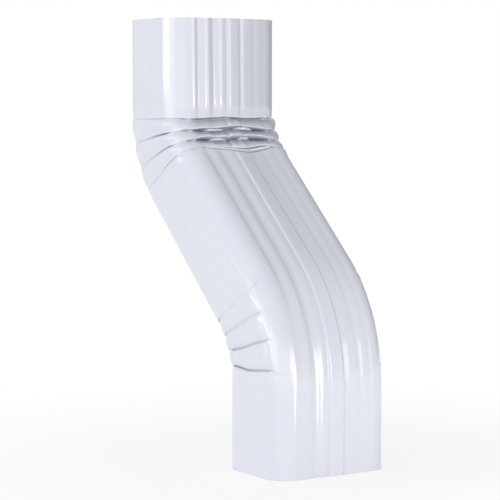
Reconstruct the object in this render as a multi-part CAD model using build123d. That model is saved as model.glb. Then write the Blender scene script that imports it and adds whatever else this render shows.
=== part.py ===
from build123d import *
import os
from math import atan, cos, radians, sin, sqrt, tan

os.makedirs("parts", exist_ok=True)

# Offset bend of a rectangular downpipe, one rolled, seamed and crimped aluminium sheet.
# Millimetres. The centre of the outlet rim is the origin, the pipe rises along +Z,
# the seam faces -Y and the inlet is set back along +Y.

# Outside of the pipe, the 2 x 3 inch trade size.
width = 3.25 * IN
depth = 2.375 * IN
sheet = 0.5
corner_radius = 13.2

# Straight lengths, and the crimps that turn the pipe out and back again.
outlet_length = 63.5
slant_length = 123.5
inlet_length = 64.5
crimps_per_bend = 4
crimp_turn = 12.0
lower_pitch = 22.0
upper_pitch = 20.0

# A crimp is a V pleat: half its mouth on the heel wall, and on the throat wall, where the
# fold is pushed over towards the slant.
heel_half_mouth = 0.7
throat_half_mouth = 1.4
fold_lean = 4.2

# Rolled valleys up the front wall; the outer two run into the corners.
valley_width = 5.6
valley_floor = 2.4
valley_depth = 0.9
inner_valleys = (-14.2, 17.7)

# Lock seam up the front: a soft bend on its left, a lapped edge on its right.
seam_left = -4.8
seam_right = 6.0
seam_rise = 0.9
seam_bend_width = 1.2

flat_half = width / 2 - corner_radius
valley_centres = (
    valley_width / 2 - flat_half,
    *inner_valleys,
    flat_half - valley_width / 2,
)

# The pleat folds away the sheet that the throat wall has to spare.
half_turn = radians(crimp_turn / 2)
throat_spare = depth * tan(half_turn)
fold_depth = sqrt((throat_spare + throat_half_mouth) ** 2 - throat_half_mouth**2)
side_fold_share = 0.6

# The fold is pressed shut at its bottom, so the groove outside is shallower.
shut_depth = 1.7
groove_depth = fold_depth - shut_depth
lip_setback = sheet * tan((radians(90) - atan(throat_half_mouth / groove_depth)) / 2)
heel_setback = 0.15


def run(tilt):
    return Vector(0, sin(radians(tilt)), cos(radians(tilt)))


def across(tilt):
    return Vector(0, cos(radians(tilt)), -sin(radians(tilt)))


def front_outline(limit, seamed):
    """Points of the front wall from left to right, its valleys pressed inward."""
    half_mouth = valley_width / 2
    half_floor = valley_floor / 2
    valleys = [
        (centre + offset, level)
        for centre in valley_centres
        for offset, level in (
            (-half_mouth, 0),
            (-half_floor, valley_depth),
            (half_floor, valley_depth),
            (half_mouth, 0),
        )
    ]
    seam = [
        (seam_left, 0),
        (seam_left + seam_bend_width, -seam_rise),
        (seam_right, -seam_rise),
        (seam_right, 0),
    ]
    points = valleys[:8] + (seam if seamed else []) + valleys[8:]
    scale = limit / flat_half
    return [(x * scale, level) for x, level in points]


def section(front, back, halves, radii, seamed):
    """Closed outline through two wall middles, with half widths and corners for each wall."""
    plane = Plane(front, x_dir=(1, 0, 0), z_dir=Vector(1, 0, 0).cross(back - front))
    deep = (back - front).length
    lean = atan((halves[1] - halves[0]) / deep)
    slope = Vector(sin(lean), cos(lean))
    front_reach = radii[0] * tan((radians(90) - lean) / 2)
    back_reach = radii[1] * tan((radians(90) + lean) / 2)
    side_start = Vector(halves[0], 0) + slope * front_reach
    side_end = Vector(halves[1], deep) - slope * back_reach
    front_end = Vector(halves[0] - front_reach, 0)
    back_end = Vector(halves[1] - back_reach, deep)
    side = [
        TangentArc(front_end, side_start, tangent=(1, 0)),
        Line(side_start, side_end),
        TangentArc(side_end, back_end, tangent=slope),
    ]
    points = front_outline(front_end.X, seamed)
    front_wall = [Line(start, end) for start, end in zip(points, points[1:])]
    back_wall = [Line(back_end, Vector(-back_end.X, deep))]
    other_side = [edge.mirror(Plane.YZ) for edge in side]
    return plane * Wire(front_wall + side + back_wall + other_side)


def station(heel, throat, turn, inset, throat_press=0.0):
    """Outline between a bend's heel and throat, pressed in at the throat."""
    half = width / 2 - inset
    radius = corner_radius - inset
    halves = (half, half - side_fold_share * throat_press)
    radii = (radius, radius - throat_press / 2)
    if turn > 0:
        return section(heel, throat, halves, radii, inset == 0)
    return section(throat, heel, halves[::-1], radii[::-1], inset == 0)


def crimp(hinge, tilt, turn, inset):
    """Sections of one pleat, from its lower lip round its bottom to its upper lip."""
    side = 1 if turn > 0 else -1
    lean = side * fold_lean
    lip_run = throat_spare + throat_half_mouth + (lip_setback if inset else 0)
    heel_run = heel_half_mouth + (heel_setback if inset else 0)

    def lip(lip_tilt, way):
        across_lip, run_lip = across(lip_tilt), run(lip_tilt)
        heel = hinge + across_lip * (side * inset) + run_lip * (way * heel_run)
        throat = hinge + across_lip * (side * (depth - inset)) + run_lip * (way * lip_run + lean)
        return station(heel, throat, turn, inset)

    press = fold_depth if inset else groove_depth
    mitre = tilt + turn / 2
    heel = hinge + across(mitre) * (side * inset / cos(half_turn))
    bottom = hinge + across(mitre) * (side * (depth / cos(half_turn) - press - inset)) + run(mitre) * lean
    return [lip(tilt, -1), station(heel, bottom, turn, inset, press), lip(tilt + turn, 1)]


def skin(inset, overrun):
    """Solid inside one face of the sheet, from below the outlet to above the inlet."""
    centre = Vector(0, 0, 0)
    tilt = 0.0
    reach = depth / 2 - inset
    below = Vector(0, 0, -overrun)
    wires = [station(below - across(0) * reach, below + across(0) * reach, 1, inset)]
    bends = (
        (crimp_turn, outlet_length, lower_pitch),
        (-crimp_turn, slant_length, upper_pitch),
    )
    for turn, length, pitch in bends:
        side = 1 if turn > 0 else -1
        centre += run(tilt) * length
        for count in range(crimps_per_bend):
            hinge = centre - across(tilt) * (side * depth / 2)
            wires += crimp(hinge, tilt, turn, inset)
            tilt += turn
            centre = hinge + across(tilt) * (side * depth / 2)
            if count < crimps_per_bend - 1:
                centre += run(tilt) * pitch
    centre += run(tilt) * (inlet_length + overrun)
    wires.append(station(centre - across(0) * reach, centre + across(0) * reach, 1, inset))
    return Solid.make_loft(wires, ruled=True)


offset_bend = skin(inset=0, overrun=0) - skin(inset=sheet, overrun=1.0)
offset_bend.label = "offset_bend"
export_step(offset_bend, "parts/offset_bend.step")
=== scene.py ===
from collections import namedtuple
from math import atan2, cos, exp, pi, radians, sin, tan
from types import SimpleNamespace
import bpy
from mathutils import Matrix, Vector


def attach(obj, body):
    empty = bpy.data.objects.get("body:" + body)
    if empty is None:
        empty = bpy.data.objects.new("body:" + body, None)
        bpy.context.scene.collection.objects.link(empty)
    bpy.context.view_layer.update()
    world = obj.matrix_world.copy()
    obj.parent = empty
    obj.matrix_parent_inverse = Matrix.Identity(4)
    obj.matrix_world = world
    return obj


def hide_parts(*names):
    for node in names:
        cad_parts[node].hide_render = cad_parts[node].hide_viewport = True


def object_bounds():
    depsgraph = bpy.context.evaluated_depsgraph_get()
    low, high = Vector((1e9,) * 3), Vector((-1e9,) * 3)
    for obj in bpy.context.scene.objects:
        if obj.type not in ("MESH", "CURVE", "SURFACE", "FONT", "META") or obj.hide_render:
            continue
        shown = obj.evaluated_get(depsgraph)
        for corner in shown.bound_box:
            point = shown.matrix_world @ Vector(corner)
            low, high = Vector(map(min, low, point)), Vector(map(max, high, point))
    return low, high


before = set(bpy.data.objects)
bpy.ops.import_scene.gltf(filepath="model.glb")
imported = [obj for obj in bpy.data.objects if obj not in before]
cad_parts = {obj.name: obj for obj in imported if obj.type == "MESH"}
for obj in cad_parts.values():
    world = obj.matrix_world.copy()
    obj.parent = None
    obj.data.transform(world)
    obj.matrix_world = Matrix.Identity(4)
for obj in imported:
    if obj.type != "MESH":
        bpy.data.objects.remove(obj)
cad_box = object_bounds()

# The offset bend. One strip of half-millimetre aluminium, roll formed with valleys up its
# front wall and closed there by a lock seam, then crimped in a machine, four bites to a
# bend. The throat wall folds in on itself and the folds die out round the narrow walls.
MM = 0.001
WIDTH = 82.55
DEPTH = 60.325
CORNER = 13.2
SHEET = 0.5
SEAM_LEFT = -4.6
SEAM_RIGHT = 6.2
OUTLET_LENGTH = 63.5
SLANT_LENGTH = 123.5
INLET_LENGTH = 64.5
BITES = 4
TURN = 12.0
LOWER_PITCH = 22.0
UPPER_PITCH = 20.0
FLAT_X = WIDTH / 2 - CORNER
FLAT_Y = DEPTH / 2 - CORNER

# What a bite takes out of the throat wall on each side of its middle.
SPARE = DEPTH * tan(radians(TURN / 2))

# The straight lengths by their numbers from the outlet up; the bands between bites lie
# between these, and a bite has the number of the length below it.
OUTLET = 0
SLANT = BITES
INLET = 2 * BITES
TUBES = (OUTLET, SLANT, INLET)


def run(tilt):
    return Vector((0, sin(radians(tilt)), cos(radians(tilt))))


def across(tilt):
    return Vector((0, cos(radians(tilt)), -sin(radians(tilt))))


def smooth(low, high, value):
    step = min(max((value - low) / (high - low), 0), 1)
    return step * step * (3 - 2 * step)


def mix(a, b, share):
    return a + (b - a) * share


def plateau(value, start, rise, end, fall):
    return smooth(start, start + rise, value) * (1 - smooth(end, end + fall, value))


def bump(value, middle, reach, power=2):
    return exp(-(abs((value - middle) / reach) ** power))


def spread(start, end, steps):
    return [mix(start, end, k / steps) for k in range(steps)]


# Round the sheet: columns on the rounded rectangle, each with its outward direction. On
# the front wall they stand closest at the two edges of the seam.
Column = namedtuple("Column", "x y nx ny")
FRONT_STOPS = (
    (-FLAT_X, 30),
    (SEAM_LEFT - 1.2, 13),
    (SEAM_LEFT + 2.8, 5),
    (SEAM_RIGHT - 1.4, 9),
    (SEAM_RIGHT + 1.4, 27),
    (FLAT_X, 0),
)


def corner(x, y, start, steps):
    angles = [radians(angle) for angle in spread(start, start + 90, steps)]
    return [Column(x + CORNER * cos(a), y + CORNER * sin(a), cos(a), sin(a)) for a in angles]


columns = []
for (start, steps), (end, _) in zip(FRONT_STOPS, FRONT_STOPS[1:]):
    columns += [Column(x, -DEPTH / 2, 0, -1) for x in spread(start, end, steps)]
columns += corner(FLAT_X, -FLAT_Y, -90, 13)
columns += [Column(WIDTH / 2, y, 1, 0) for y in spread(-FLAT_Y, FLAT_Y, 16)]
columns += corner(FLAT_X, FLAT_Y, 0, 12)
columns += [Column(x, DEPTH / 2, 0, 1) for x in spread(FLAT_X, -FLAT_X, 16)]
columns += corner(-FLAT_X, FLAT_Y, 90, 12)
columns += [Column(-WIDTH / 2, y, -1, 0) for y in spread(FLAT_Y, -FLAT_Y, 18)]
columns += corner(-FLAT_X, -FLAT_Y, 180, 15)


def on_front(column):
    return column.ny < -0.99


# The rolled valleys: middle, width, depth, and how soon each fades where the sheet is
# pulled flat. Their sides that face right are the steep ones.
VALLEYS = (
    (-24.0, 8.0, 1.1, 4.0),
    (-13.2, 9.6, 1.35, 0.5),
    (18.6, 6.0, 0.35, 0.5),
    (26.4, 4.0, 0.2, 0.5),
)
STEEP_SHARE = 0.42

# The seam's left edge is a soft bend with a crease at its foot. On the right the sheet
# under the lap is drawn in a little. The narrow walls have one shallow flute each.
SOFT_EDGE = 1.6
LAPPED_EDGE = 2.0
CREASE_DEPTH = 0.4
CREASE_HALF = 0.7
LAP_DEPTH = 0.3
LAP_REACH = 5.0
FLUTE_HALF = 6
FLUTE_DEPTH = 0.06


def rolled(column, seam_rise, valley_share, shift):
    """How far the valleys, the seam and the flutes of the narrow walls stand out."""
    if abs(column.ny) < 0.01 and abs(column.y) < FLUTE_HALF:
        return -FLUTE_DEPTH * (1 + cos(pi * column.y / FLUTE_HALF)) / 2
    if not on_front(column):
        return 0
    x = column.x - shift * (1 - smooth(-2, 6, column.x))
    rise = 0
    for middle, wide, deep, fade in VALLEYS:
        into = (x - middle) / wide + 0.5
        rise -= deep * valley_share**fade * (smooth(0, STEEP_SHARE, into) - smooth(STEEP_SHARE, 1, into))
    rise += seam_rise * plateau(x, SEAM_LEFT, SOFT_EDGE, SEAM_RIGHT - LAPPED_EDGE / 2, LAPPED_EDGE)
    rise -= CREASE_DEPTH * bump(x, SEAM_LEFT, CREASE_HALF)
    lap_foot = SEAM_RIGHT + 0.9
    return rise - LAP_DEPTH * plateau(x, SEAM_RIGHT - 0.6, 1.5, lap_foot, SEAM_RIGHT + LAP_REACH - lap_foot)


# Along the sheet: straight lengths between hinges. Each hinge lies on the heel wall of its
# bend, which is the front wall at the lower bend and the back wall at the upper one.
lengths = []
centre = Vector((0, 0, 0))
tilt = 0.0
start_turn = 0
lower_bend = [(OUTLET_LENGTH, 1)] + [(LOWER_PITCH, 1)] * (BITES - 1)
upper_bend = [(SLANT_LENGTH, -1)] + [(UPPER_PITCH, -1)] * (BITES - 1)
for length, turn in lower_bend + upper_bend + [(INLET_LENGTH, 0)]:
    lengths.append(
        SimpleNamespace(start=centre, tilt=tilt, length=length, start_turn=start_turn, end_turn=turn)
    )
    hinge = centre + run(tilt) * length - across(tilt) * (turn * DEPTH / 2)
    tilt += turn * TURN
    centre = hinge + across(tilt) * (turn * DEPTH / 2)
    start_turn = turn

# What the front wall of each length does at its start and its end: how far it crowns and
# how much of the valleys is left. Also how far the seam stands out, and how far its left
# edge and the valleys beside it sit to the right. The upper bands crown more and more, and
# the slant is hollow to the right of its middle.
CROWN_HALF = 35
BAND_CROWN = 5.0
for number, part in enumerate(lengths):
    part.crown = (0.0, 0.0)
    part.valley = (0.25 + 0.18 * number, 0.43 + 0.18 * number)
    part.seam = 0.8
    part.shift = 0.0
    if number > SLANT:
        rank = number - SLANT
        part.crown = (BAND_CROWN * (rank - 1) / (BITES - 1), BAND_CROWN * rank / BITES)
        part.valley = (0.4, 0.4)
        part.seam = 1.4
        part.shift = 0.4 * rank
lengths[OUTLET].valley = (0.2, 0.43)
lengths[SLANT].valley = (1.0, 1.0)
lengths[SLANT].crown = (0.0, -2.4)
lengths[INLET].crown = (5.4, 4.2)
lengths[INLET].valley = (1.0, 1.0)
lengths[INLET].seam = 0.7

# The bites, from the lowest up: half of each fold's mouth where it is widest, without the
# lips in the upper bend; how deep the lower ones are pressed into the narrow walls; and
# how far each fold strays upward from its even place at the front, middle and back there.
FOLD_DEPTH = 6.3
TOP_FOLD_DEPTH = 2.6
LIP = 0.6
LEAN = 4.2
SAG = 2.6
WAVE = 0.35
OPEN_HALF = 27.5
MOUTHS = (1.0, 1.1, 1.4, 1.7, 1.7, 1.1, 1.1, 0.2)
PRESSED = (2.0, 1.6, 0.8, 0.35)
STRAY = (
    (-1.0, -1.0, 2.6),
    (-2.6, -1.6, 0.0),
    (-5.0, -2.0, 0.0),
    (-9.0, -4.0, 0.0),
    (3.0, 0.6, -2.4),
    (2.2, 0.2, -2.4),
    (1.0, -0.6, -2.8),
    (-0.8, -1.6, -2.2),
)


def from_heel(turn, column):
    """0 at the heel wall of a bend, 1 at its throat wall."""
    return (turn * column.y + DEPTH / 2) / DEPTH


def drift(number, share, column):
    """How far up the pipe a bite's fold lies from the even place of its middle."""
    front_side, middle, back_side = STRAY[number]
    stray = mix(front_side, middle, smooth(0.1, 0.5, share))
    stray += (back_side - middle) * smooth(0.5, 0.95, share)
    if number < SLANT:
        return (LEAN + stray) * smooth(-0.02, 0.16, share)
    droop = LEAN
    if column.ny < 0:
        droop += WAVE * sin(0.16 * column.x + 1.7 * number)
        if number == SLANT:
            droop += SAG * bump(column.x, 0, 16)
    return stray * smooth(0.0, 0.12, share) - droop * share


def opened(x):
    """How far a throat fold of the upper bend is open: fully in the middle of the wall."""
    return max(0, 1 - abs(x / OPEN_HALF) ** 5)


def half_mouth(number, share, column):
    """How far apart the lips of a fold stand, halved."""
    if number < SLANT:
        return mix(LIP, MOUTHS[number], smooth(0.1, 0.3, share))
    on_side = mix(LIP, 1.15, smooth(0.0, 0.6, share))
    in_throat = LIP + MOUTHS[number] * opened(column.x)
    return mix(on_side, in_throat, smooth(0.5, 1.0, min(column.ny, 0) ** 2))


def fold_depth(number, share, column):
    """Depth of a bite's groove: shut and deep in the throat, dying out to the heel."""
    if number < SLANT:
        on_side = PRESSED[number] * smooth(0.1, 0.2, share) * mix(0.75, 1.3, share)
        return max(on_side, FOLD_DEPTH * smooth(0.8, 1.0, share))
    top_bite = number == INLET - 1
    if on_front(column):
        under_seam = 1 - 0.5 * bump(column.x, -2, 4.5, power=4)
        in_throat = (TOP_FOLD_DEPTH if top_bite else FOLD_DEPTH) * under_seam
        return mix(0.2, in_throat, opened(column.x) ** 0.4)
    on_side = (0.35 + 1.7 * smooth(0.1, 0.7, share)) * (0.55 if top_bite else 1)
    round_corner = atan2(max(-column.ny, 0), abs(column.nx))
    corner_dent = 1.5 * bump(round_corner, 1.2, 0.16)
    return on_side * (1 - 0.9 * smooth(0.15, 0.5, round_corner)) + corner_dent


# The sheet that a bite traps swells out again in the mouth of the fold: as a ridge across
# the lowest fold of the upper bend, and as two lenses (middle, half width) in the next two.
RIDGE_HALF = 28
LENSES = {SLANT + 1: ((-11.5, 7.0), (8.0, 6.0)), SLANT + 2: ((-13.0, 8.5), (9.5, 8.5))}


def swelling(number, column):
    """How much of the swelling a column of the sheet shows in a fold."""
    if not on_front(column):
        return 0
    if number == SLANT:
        return plateau(column.x, -RIDGE_HALF, 4, RIDGE_HALF - 4, 4)
    rounds = [1 - ((column.x - middle) / half) ** 2 for middle, half in LENSES.get(number, ())]
    return max(rounds + [0]) ** 0.6


# Steps through a fold from its middle to either side: the crest and the foot of the
# swelling, the gap beside it, and the round of the lip from its inner end outward. With
# no swelling the same steps run down to the bottom, where the sheet is pinched shut.
CREST = 0
FOOT = 0.14
GAP = 0.28
LIP_END = 0.4
LIP_OUTSIDE = 0.85
UPPER_STEPS = [FOOT, GAP, LIP_END, 0.55, 0.7, LIP_OUTSIDE, 1]
FOLD_STEPS = [-step for step in reversed(UPPER_STEPS)] + [CREST] + UPPER_STEPS
PINCHED_HALF = 0.3
CREST_RISE = 1.5
GAP_DEPTH = 2.6


def fold_section(step, mouth, deep, swell, foot_depth):
    """Place in a fold's section: distance along the pipe from its middle, and depth."""
    way = 1 if step > 0 else -1
    far = abs(step)
    lip_depth = min(LIP, deep)
    if far >= LIP_END:
        turned = (1 - far) / (1 - LIP_END) * pi / 2
        shut = (mouth - LIP * sin(turned), lip_depth * (1 - cos(turned)))
    else:
        inside = far / LIP_END
        shut = (mix(PINCHED_HALF, mouth - LIP, inside), mix(deep, lip_depth, inside**2))
    shallow = (mouth * far, deep * (1 + cos(pi * far)) / 2)
    shutness = smooth(1.8, 3.0, deep)
    along = mix(shallow[0], shut[0], shutness)
    inward = mix(shallow[1], shut[1], shutness)
    if far < LIP_END:
        places = {CREST: (-0.15, -CREST_RISE), FOOT: (0.6, foot_depth), GAP: (0.76, GAP_DEPTH)}
        share, swollen_depth = places[far]
        along = mix(along, share * (mouth - LIP), swell)
        inward = mix(inward, swollen_depth, swell)
    return way * along, inward


# How far the front wall and the narrow walls stand out at the lips of the upper bend: where
# the slant ends, where a band starts and ends, and where the inlet starts.
SLANT_HEAD = (0.3, 1.2)
BAND_FOOT = (1.2, 0.1)
BAND_HEAD = (-2.6, 1.2)
INLET_FOOT = (-0.8, -0.2)


def lip_offset(number, turn, at_start, column):
    """How far the sheet stands out where a length meets the fold at its start or end."""
    if not turn:
        return 0
    share = from_heel(turn, column)
    front = min(column.ny, 0) ** 4
    side = column.nx**2
    if turn > 0:
        if number in TUBES:
            return -0.2 * side * smooth(0.14, 0.22, share)
        bite = number - 1 if at_start else number
        panel = smooth(0.1, 0.18, share) * (1 - 0.6 * smooth(0.75, 0.98, share))
        return -0.5 * PRESSED[bite] * panel * smooth(0.4, 1.0, side)
    if number == INLET:
        front_out, side_out = INLET_FOOT
    elif at_start:
        front_out, side_out = BAND_FOOT
        side_out *= share
    else:
        front_out, side_out = SLANT_HEAD if number == SLANT else BAND_HEAD
        side_out *= smooth(0.0, 0.5, share)
    return front_out * front + side_out * side


def bulge(number, share_along, from_start, to_end, column):
    """How far a length's walls stand out: its crown, its lips and the swell between them."""
    part = lengths[number]
    front = min(column.ny, 0) ** 2
    side = column.nx**2
    crown = mix(*part.crown, share_along) * max(0, 1 - abs(column.x / CROWN_HALF) ** 3) * front
    if crown < 0:
        crown *= smooth(-6, 14, column.x)
    low = lip_offset(number, part.start_turn, True, column)
    high = lip_offset(number, part.end_turn, False, column)
    if number in TUBES:
        return crown + low * (1 - smooth(0, 7, from_start)) + high * (1 - smooth(0, 5, to_end))
    if number < SLANT:
        off_heel = smooth(0.14, 0.26, from_heel(part.end_turn, column))
        swell = 0.45 * PRESSED[number - 1] * sin(pi * share_along) ** 0.8 * off_heel * side
        return crown + mix(low, high, share_along) + swell
    swell = (0.3 * front + 1.1 * side) * sin(pi * share_along**1.4)
    return crown + mix(low, high, share_along**1.3) + swell


def eased(turn, column, distance):
    """How far the heel wall is drawn in where it rounds a hinge instead of breaking at it."""
    reach = 11.0
    if not turn or distance > reach:
        return 0
    on_heel = 1 - smooth(0.0, 0.3, from_heel(turn, column))
    return on_heel * (reach - distance) ** 2 * radians(TURN) / (4 * reach)


def stand(number, along, lean, out, column):
    """The point of the sheet at a distance along a length, moved outward from its wall."""
    part = lengths[number]
    on_wall = part.start + Vector((column.x, 0, 0)) + across(part.tilt) * column.y + run(part.tilt) * along
    outward = Vector((column.nx, 0, 0)) + across(lean) * column.ny
    return (on_wall + outward * out) * MM


def on_length(number, share_along, column):
    """A point between two folds, and the painted shade on it."""
    part = lengths[number]
    start = 0
    end = part.length
    if part.start_turn:
        share = from_heel(part.start_turn, column)
        start = share * SPARE + half_mouth(number - 1, share, column) + drift(number - 1, share, column)
    if part.end_turn:
        share = from_heel(part.end_turn, column)
        end += drift(number, share, column) - share * SPARE - half_mouth(number, share, column)
    along = mix(start, end, share_along)
    out = bulge(number, share_along, along - start, end - along, column)
    out += rolled(column, part.seam, mix(*part.valley, share_along), part.shift)
    out -= eased(part.start_turn, column, along) + eased(part.end_turn, column, part.length - along)
    shade_and_highlight = 0
    # Painted shade on the upper part of each upper band's front wall, below the lip of the fold above.
    if SLANT < number < INLET and column.ny < -0.5:
        shade_and_highlight = 0.95 * share_along**1.2 * smooth(-30, -24, column.x) * column.ny**4
    return stand(number, along, part.tilt, out, column), shade_and_highlight


def painted_shade_and_highlight(number, step, share, inward, swell, column):
    """Painted shade in a fold, up to 1 at its bottom, and below 0 where a painted highlight brightens an
    edge.
    """
    if number < SLANT:
        kept = 0.25 + 0.6 * smooth(0.6, 0.9, share) * (number == OUTLET)
        return kept * min(max(inward / GAP_DEPTH, 0), 1) ** 1.2
    on_side = 0.25 + 0.75 * smooth(0.4, 0.7, share)
    kept = mix(on_side, 1.0, smooth(0.3, 0.9, min(column.ny, 0) ** 2))
    if number == INLET - 1:
        kept *= 0.6
    shade_and_highlight = kept * min(max(inward / GAP_DEPTH, 0), 1) ** 1.2
    # On the lowest fold of the upper bend the ridge crest gets a painted highlight and the gap beside it
    # painted shade; the outer round of the upper lip gets a painted highlight.
    if number == SLANT and abs(step) <= FOOT:
        shade_and_highlight -= swell
    elif number == SLANT and abs(step) <= LIP_END:
        shade_and_highlight += 0.6 * swell
    if step >= LIP_OUTSIDE:
        shade_and_highlight -= 0.6 if on_front(column) else 0.4 * smooth(0.3, 0.6, share)
    return shade_and_highlight


def in_fold(number, step, column):
    """A point of the fold above a length, with its painted shade (above 0) and painted highlight (below 0).

    The rolled valleys and the seam are pressed flat deep in a fold and along the ridge.
    """
    part = lengths[number]
    above = lengths[number + 1]
    share = from_heel(part.end_turn, column)
    mouth = half_mouth(number, share, column)
    deep = fold_depth(number, share, column)
    swell = swelling(number, column)
    foot_depth = -0.1 if number == SLANT else -0.6
    along, inward = fold_section(step, mouth, deep, swell, foot_depth)
    shift = along + drift(number, share, column)
    through = (step + 1) / 2
    seam = mix(part.seam, above.seam, through)
    valley = mix(part.valley[1], above.valley[0], through)
    pressed = rolled(column, seam, valley, above.shift) * (1 - 0.7 * smooth(0.5, 3, inward))
    if number == SLANT:
        pressed *= 1 - 0.85 * swell
    below_fold = bulge(number, 1, part.length, 0, column)
    above_fold = bulge(number + 1, 0, 0, above.length, column)
    out = mix(below_fold, above_fold, smooth(-0.5, 0.5, step)) + pressed - inward
    out -= eased(part.end_turn, column, abs(shift))
    lean = part.tilt + part.end_turn * TURN / 2
    shade_and_highlight = painted_shade_and_highlight(number, step, share, inward, swell, column)
    if along <= 0:
        return stand(number, part.length - share * SPARE + shift, lean, out, column), shade_and_highlight
    return stand(number + 1, share * SPARE + shift, lean, out, column), shade_and_highlight


# Rows up the sheet: close together by the folds on a tube, evenly on the short bands.
TUBE_FOOT = (0.012, 0.03, 0.055, 0.09, 0.14, 0.21, 0.3, 0.4)
TUBE_HEAD = (0.5, 0.6, 0.7, 0.79, 0.86, 0.91, 0.945, 0.97, 0.988)
BAND_ROWS = (0.1, 0.22, 0.36, 0.5, 0.64, 0.78, 0.9)
rows = [(on_length, OUTLET, 0)]
for number, part in enumerate(lengths):
    shares = TUBE_FOOT + TUBE_HEAD if number in TUBES else BAND_ROWS
    rows += [(on_length, number, share) for share in shares]
    if part.end_turn:
        rows += [(in_fold, number, step) for step in FOLD_STEPS]
rows.append((on_length, INLET, 1))

# The grid is rolled up into the bend, closed down the left front corner, given the sheet's
# thickness inward and shaded smooth but for the tight edges.
bpy.ops.object.select_all(action="DESELECT")
bpy.ops.mesh.primitive_grid_add(x_subdivisions=len(columns), y_subdivisions=len(rows) - 1, size=1)
bend = bpy.context.object
bend.name = "crimped_bend"
row_length = len(columns) + 1
# Each point carries its painted shade, as a value above 0, and its painted highlight, as a value below 0.
shade_and_highlight_points = bend.data.attributes.new("painted_shade_and_highlight", "FLOAT", "POINT")
for index, vertex in enumerate(bend.data.vertices):
    placed, number, share = rows[index // row_length]
    column = columns[index % row_length % len(columns)]
    vertex.co, shade_and_highlight_points.data[index].value = placed(number, share, column)
bpy.ops.object.mode_set(mode="EDIT")
bpy.ops.mesh.select_all(action="SELECT")
bpy.ops.mesh.remove_doubles(threshold=1e-6)
bpy.ops.mesh.normals_make_consistent(inside=False)
bpy.ops.object.mode_set(mode="OBJECT")
bpy.ops.object.modifier_add(type="SOLIDIFY")
wall = bend.modifiers[-1]
wall.thickness = SHEET * MM
wall.offset = -1
bpy.ops.object.modifier_apply(modifier=wall.name)
bpy.ops.object.shade_smooth_by_angle(angle=radians(50))


class Socket:
    """A node's output, so that shader maths reads as sums."""

    def __init__(self, tree, output):
        self.tree = tree
        self.output = output

    @classmethod
    def of(cls, tree, kind, settings, inputs, result=0):
        """The output of a new node: its settings come first, then what its sockets hold."""
        node = tree.nodes.new(kind)
        for name, value in settings.items():
            setattr(node, name, value)
        for key, value in inputs.items():
            if isinstance(value, cls):
                value.feed(node.inputs[key])
            else:
                node.inputs[key].default_value = value
        return cls(tree, node.outputs[result])

    def feed(self, socket):
        self.tree.links.new(self.output, socket)

    def _math(self, operation, *values):
        return Socket.of(self.tree, "ShaderNodeMath", {"operation": operation}, dict(enumerate(values)))

    def __add__(self, other):
        return self._math("ADD", self, other)

    __radd__ = __add__

    def __mul__(self, other):
        return self._math("MULTIPLY", self, other)

    __rmul__ = __mul__

    def __sub__(self, other):
        return self._math("SUBTRACT", self, other)

    def __rsub__(self, other):
        return self._math("SUBTRACT", other, self)

    def __lt__(self, other):
        return self._math("LESS_THAN", self, other)

    def __abs__(self):
        return self._math("ABSOLUTE", self)


def blend_colours(share, one, other):
    settings = {"data_type": "RGBA"}
    return Socket.of(share.tree, "ShaderNodeMix", settings, {0: share, 6: one, 7: other}, result=2)


def ramp(value, start, end, low, high, interpolation="LINEAR"):
    settings = {"interpolation_type": interpolation}
    ends = {"Value": value, "From Min": start, "From Max": end, "To Min": low, "To Max": high}
    return Socket.of(value.tree, "ShaderNodeMapRange", settings, ends)


# The bend's finish. Bluish white enamel, baked on the strip before it is rolled, with a
# faint orange peel. Painted shade darkens the folds and the tops of the upper bands, and
# painted highlights brighten the fold ridges and lips. The saw has left bare aluminium on
# the rims with small chips beside it.
ENAMEL = ((0.752, 0.76, 0.85, 1), (0.79, 0.797, 0.874, 1))
# Next come the painted highlight colour for fold ridges and the painted shade colour for folds.
PAINTED_HIGHLIGHT = (0.92, 0.935, 1.0, 1)
PAINTED_SHADE = (0.27, 0.28, 0.36, 1)
ALUMINIUM = (0.66, 0.67, 0.69, 1)
paint = bpy.data.materials.new("baked_white_enamel")
paint.use_nodes = True
tree = paint.node_tree
shader = tree.nodes["Principled BSDF"]
shader.inputs["Coat Roughness"].default_value = 0.06
spot = Socket.of(tree, "ShaderNodeTexCoord", {}, {}, result="Object")
shade_and_highlight = Socket.of(tree, "ShaderNodeAttribute", {"attribute_name": "painted_shade_and_highlight"}, {}, result="Fac")
cloud = Socket.of(tree, "ShaderNodeTexNoise", {}, {"Vector": spot, "Scale": 16.0, "Detail": 3.0})
grain = Socket.of(tree, "ShaderNodeTexNoise", {}, {"Vector": spot, "Scale": 420.0, "Detail": 2.0})
peel = Socket.of(tree, "ShaderNodeTexNoise", {}, {"Vector": spot, "Scale": 1100.0, "Detail": 1.0})
# Where the fold value is below 0 the enamel is lightened as a painted highlight; where it is above 0 it is
# darkened as painted shade.
highlighted = blend_colours(-1.0 * shade_and_highlight, blend_colours(cloud, *ENAMEL), PAINTED_HIGHLIGHT)
shaded = blend_colours(shade_and_highlight * (0.55 + 0.45 * cloud), highlighted, PAINTED_SHADE)

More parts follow.
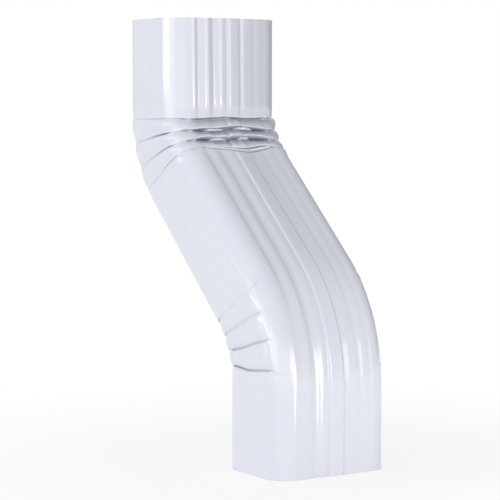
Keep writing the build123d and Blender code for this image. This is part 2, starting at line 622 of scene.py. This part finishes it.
half_height = cad_box[1][2] / 2
height = Socket.of(tree, "ShaderNodeSeparateXYZ", {}, {"Vector": spot}, result="Z")
from_rim = half_height - abs(height - half_height)
bare = from_rim < 0.00009 + ramp(grain, 0.58, 0.72, 0.0, 0.0009)
blend_colours(bare, shaded, ALUMINIUM).feed(shader.inputs["Base Color"])
bare.feed(shader.inputs["Metallic"])
(1.0 - bare).feed(shader.inputs["Coat Weight"])
(0.15 + 0.1 * cloud + 0.3 * shade_and_highlight + 0.18 * bare).feed(shader.inputs["Roughness"])
sheet_wave = Socket.of(tree, "ShaderNodeBump", {}, {"Strength": 1.0, "Distance": 0.00025, "Height": cloud})
orange_peel = {"Strength": 0.12, "Distance": 0.00003, "Height": peel, "Normal": sheet_wave}
Socket.of(tree, "ShaderNodeBump", {}, orange_peel).feed(shader.inputs["Normal"])
bend.data.materials.clear()
bend.data.materials.append(paint)
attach(bend, "root")
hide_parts("offset_bend")

# The studio floor. A matt white sheet that keeps the bend's shadow near its foot and
# fades into the backdrop further out, in the gloss of the paint too.
bpy.ops.object.select_all(action="DESELECT")
bpy.ops.mesh.primitive_plane_add(size=8, location=(0, 0, 0))
floor = bpy.context.object
floor.name = "floor"
matt = bpy.data.materials.new("pale_floor")
matt.use_nodes = True
tree = matt.node_tree
plain = tree.nodes["Principled BSDF"]
plain.inputs["Base Color"].default_value = (0.88, 0.88, 0.88, 1)
plain.inputs["Roughness"].default_value = 0.9
surface = Socket(tree, plain.outputs["BSDF"])
glow = Socket.of(tree, "ShaderNodeEmission", {}, {"Strength": 1.0})
spot = Socket.of(tree, "ShaderNodeTexCoord", {}, {}, result="Object")
away = Socket.of(tree, "ShaderNodeVectorMath", {"operation": "LENGTH"}, {0: spot}, result="Value")
fade = ramp(away, 0.05, 0.4, 0.82, 1.0, "SMOOTHSTEP")
ray = Socket.of(tree, "ShaderNodeLightPath", {}, {}).output.node
seen = Socket(tree, ray.outputs["Is Camera Ray"]) + 0.85 * Socket(tree, ray.outputs["Is Glossy Ray"])
faded = Socket.of(tree, "ShaderNodeMixShader", {}, {0: fade * seen, 1: surface, 2: glow})
faded.feed(tree.nodes["Material Output"].inputs["Surface"])
floor.data.materials.append(matt)

# The studio walls. White to the camera; to the bend they are a soft cool light that grows
# towards the back left and a little towards the ceiling.
world = bpy.data.worlds.new("studio")
bpy.context.scene.world = world
world.use_nodes = True
tree = world.node_tree
soft = tree.nodes["Background"]
soft.inputs["Color"].default_value = (0.955, 0.97, 1.0, 1)
way = Socket.of(tree, "ShaderNodeTexCoord", {}, {}, result="Generated")
parts = Socket.of(tree, "ShaderNodeSeparateXYZ", {}, {"Vector": way}).output.node
back_left = 0.55 * Socket(tree, parts.outputs["Y"]) - 0.83 * Socket(tree, parts.outputs["X"])
wall_light = ramp(back_left, -0.5, 0.85, 0.275, 0.84, "SMOOTHSTEP")
ceiling_light = ramp(Socket(tree, parts.outputs["Z"]), 0.1, 0.95, 0.0, 0.17, "SMOOTHSTEP")
(wall_light + ceiling_light).feed(soft.inputs["Strength"])
white = Socket.of(tree, "ShaderNodeBackground", {}, {"Color": (1, 1, 1, 1), "Strength": 1.0})
to_camera = Socket.of(tree, "ShaderNodeLightPath", {}, {}, result="Is Camera Ray")
shown = {0: to_camera, 1: Socket(tree, soft.outputs["Background"]), 2: white}
Socket.of(tree, "ShaderNodeMixShader", {}, shown).feed(tree.nodes["World Output"].inputs["Surface"])

# The lamps. A long window lights the left walls, a bank of soft boxes goes round the
# front, and two small oval ones draw the bright streaks on the valleys and the corner.
def softbox(name, azimuth, distance, low, high, wide, radiance, shape="RECTANGLE"):
    """A soft lamp that stands upright and faces the bend; azimuth 0 is in front of it."""
    way = Vector((sin(radians(azimuth)), -cos(radians(azimuth)), 0))
    side = Vector((cos(radians(azimuth)), sin(radians(azimuth)), 0))
    lamp = bpy.data.lights.new(name, "AREA")
    lamp.shape = shape
    lamp.color = (1.0, 1.0, 0.97)
    lamp.size = wide
    lamp.size_y = high - low
    lamp.energy = radiance * pi * wide * (high - low)
    holder = bpy.data.objects.new(name, lamp)
    holder.visible_camera = False
    bpy.context.scene.collection.objects.link(holder)
    middle = way * distance + Vector((0, 0, (low + high) / 2))
    turned = Matrix((side, Vector((0, 0, 1)), way)).transposed().to_4x4()
    holder.matrix_world = Matrix.Translation(middle) @ turned


softbox("left_window", -112, distance=6.0, low=0.30, high=0.58, wide=5.34, radiance=3.1)
softbox("low_softbox", 13, distance=0.22, low=0.0, high=0.13, wide=0.05, radiance=3.4, shape="ELLIPSE")
softbox("high_softbox", 10, distance=1.2, low=0.222, high=0.28, wide=0.3, radiance=8.0, shape="ELLIPSE")
for azimuth, radiance in ((-105, 1.25), (-75, 1.6), (-45, 0.85), (-15, 1.15), (15, 2.0)):
    softbox(f"bank_{azimuth}", azimuth, distance=1.5, low=0.0, high=0.6, wide=0.8, radiance=radiance)

# The camera. It stands left of the front wall at the height of the upper bend, with a
# long lens, as the photograph was taken.
IMAGE_PIXELS = 500
FOCAL_PIXELS = 1895.042
STANDPOINT = Vector((-0.658769, -0.950906, 0.219087))
camera_data = bpy.data.cameras.new("camera")
camera_data.lens = FOCAL_PIXELS / IMAGE_PIXELS * camera_data.sensor_width
camera_data.clip_end = 20
camera = bpy.data.objects.new("camera", camera_data)
bpy.context.scene.collection.objects.link(camera)
yaw, pitch, roll = radians(32.977), radians(-4.168), radians(0.025)
ahead = Vector((sin(yaw) * cos(pitch), cos(yaw) * cos(pitch), sin(pitch)))
right = Vector((cos(yaw), -sin(yaw), 0))
up = right.cross(ahead)
rolled_right = right * cos(roll) + up * sin(roll)
rolled_up = up * cos(roll) - right * sin(roll)
turned = Matrix((rolled_right, rolled_up, -ahead)).transposed().to_4x4()
camera.matrix_world = Matrix.Translation(STANDPOINT) @ turned
bpy.context.scene.camera = camera
bpy.context.scene.view_settings.view_transform = "Standard"
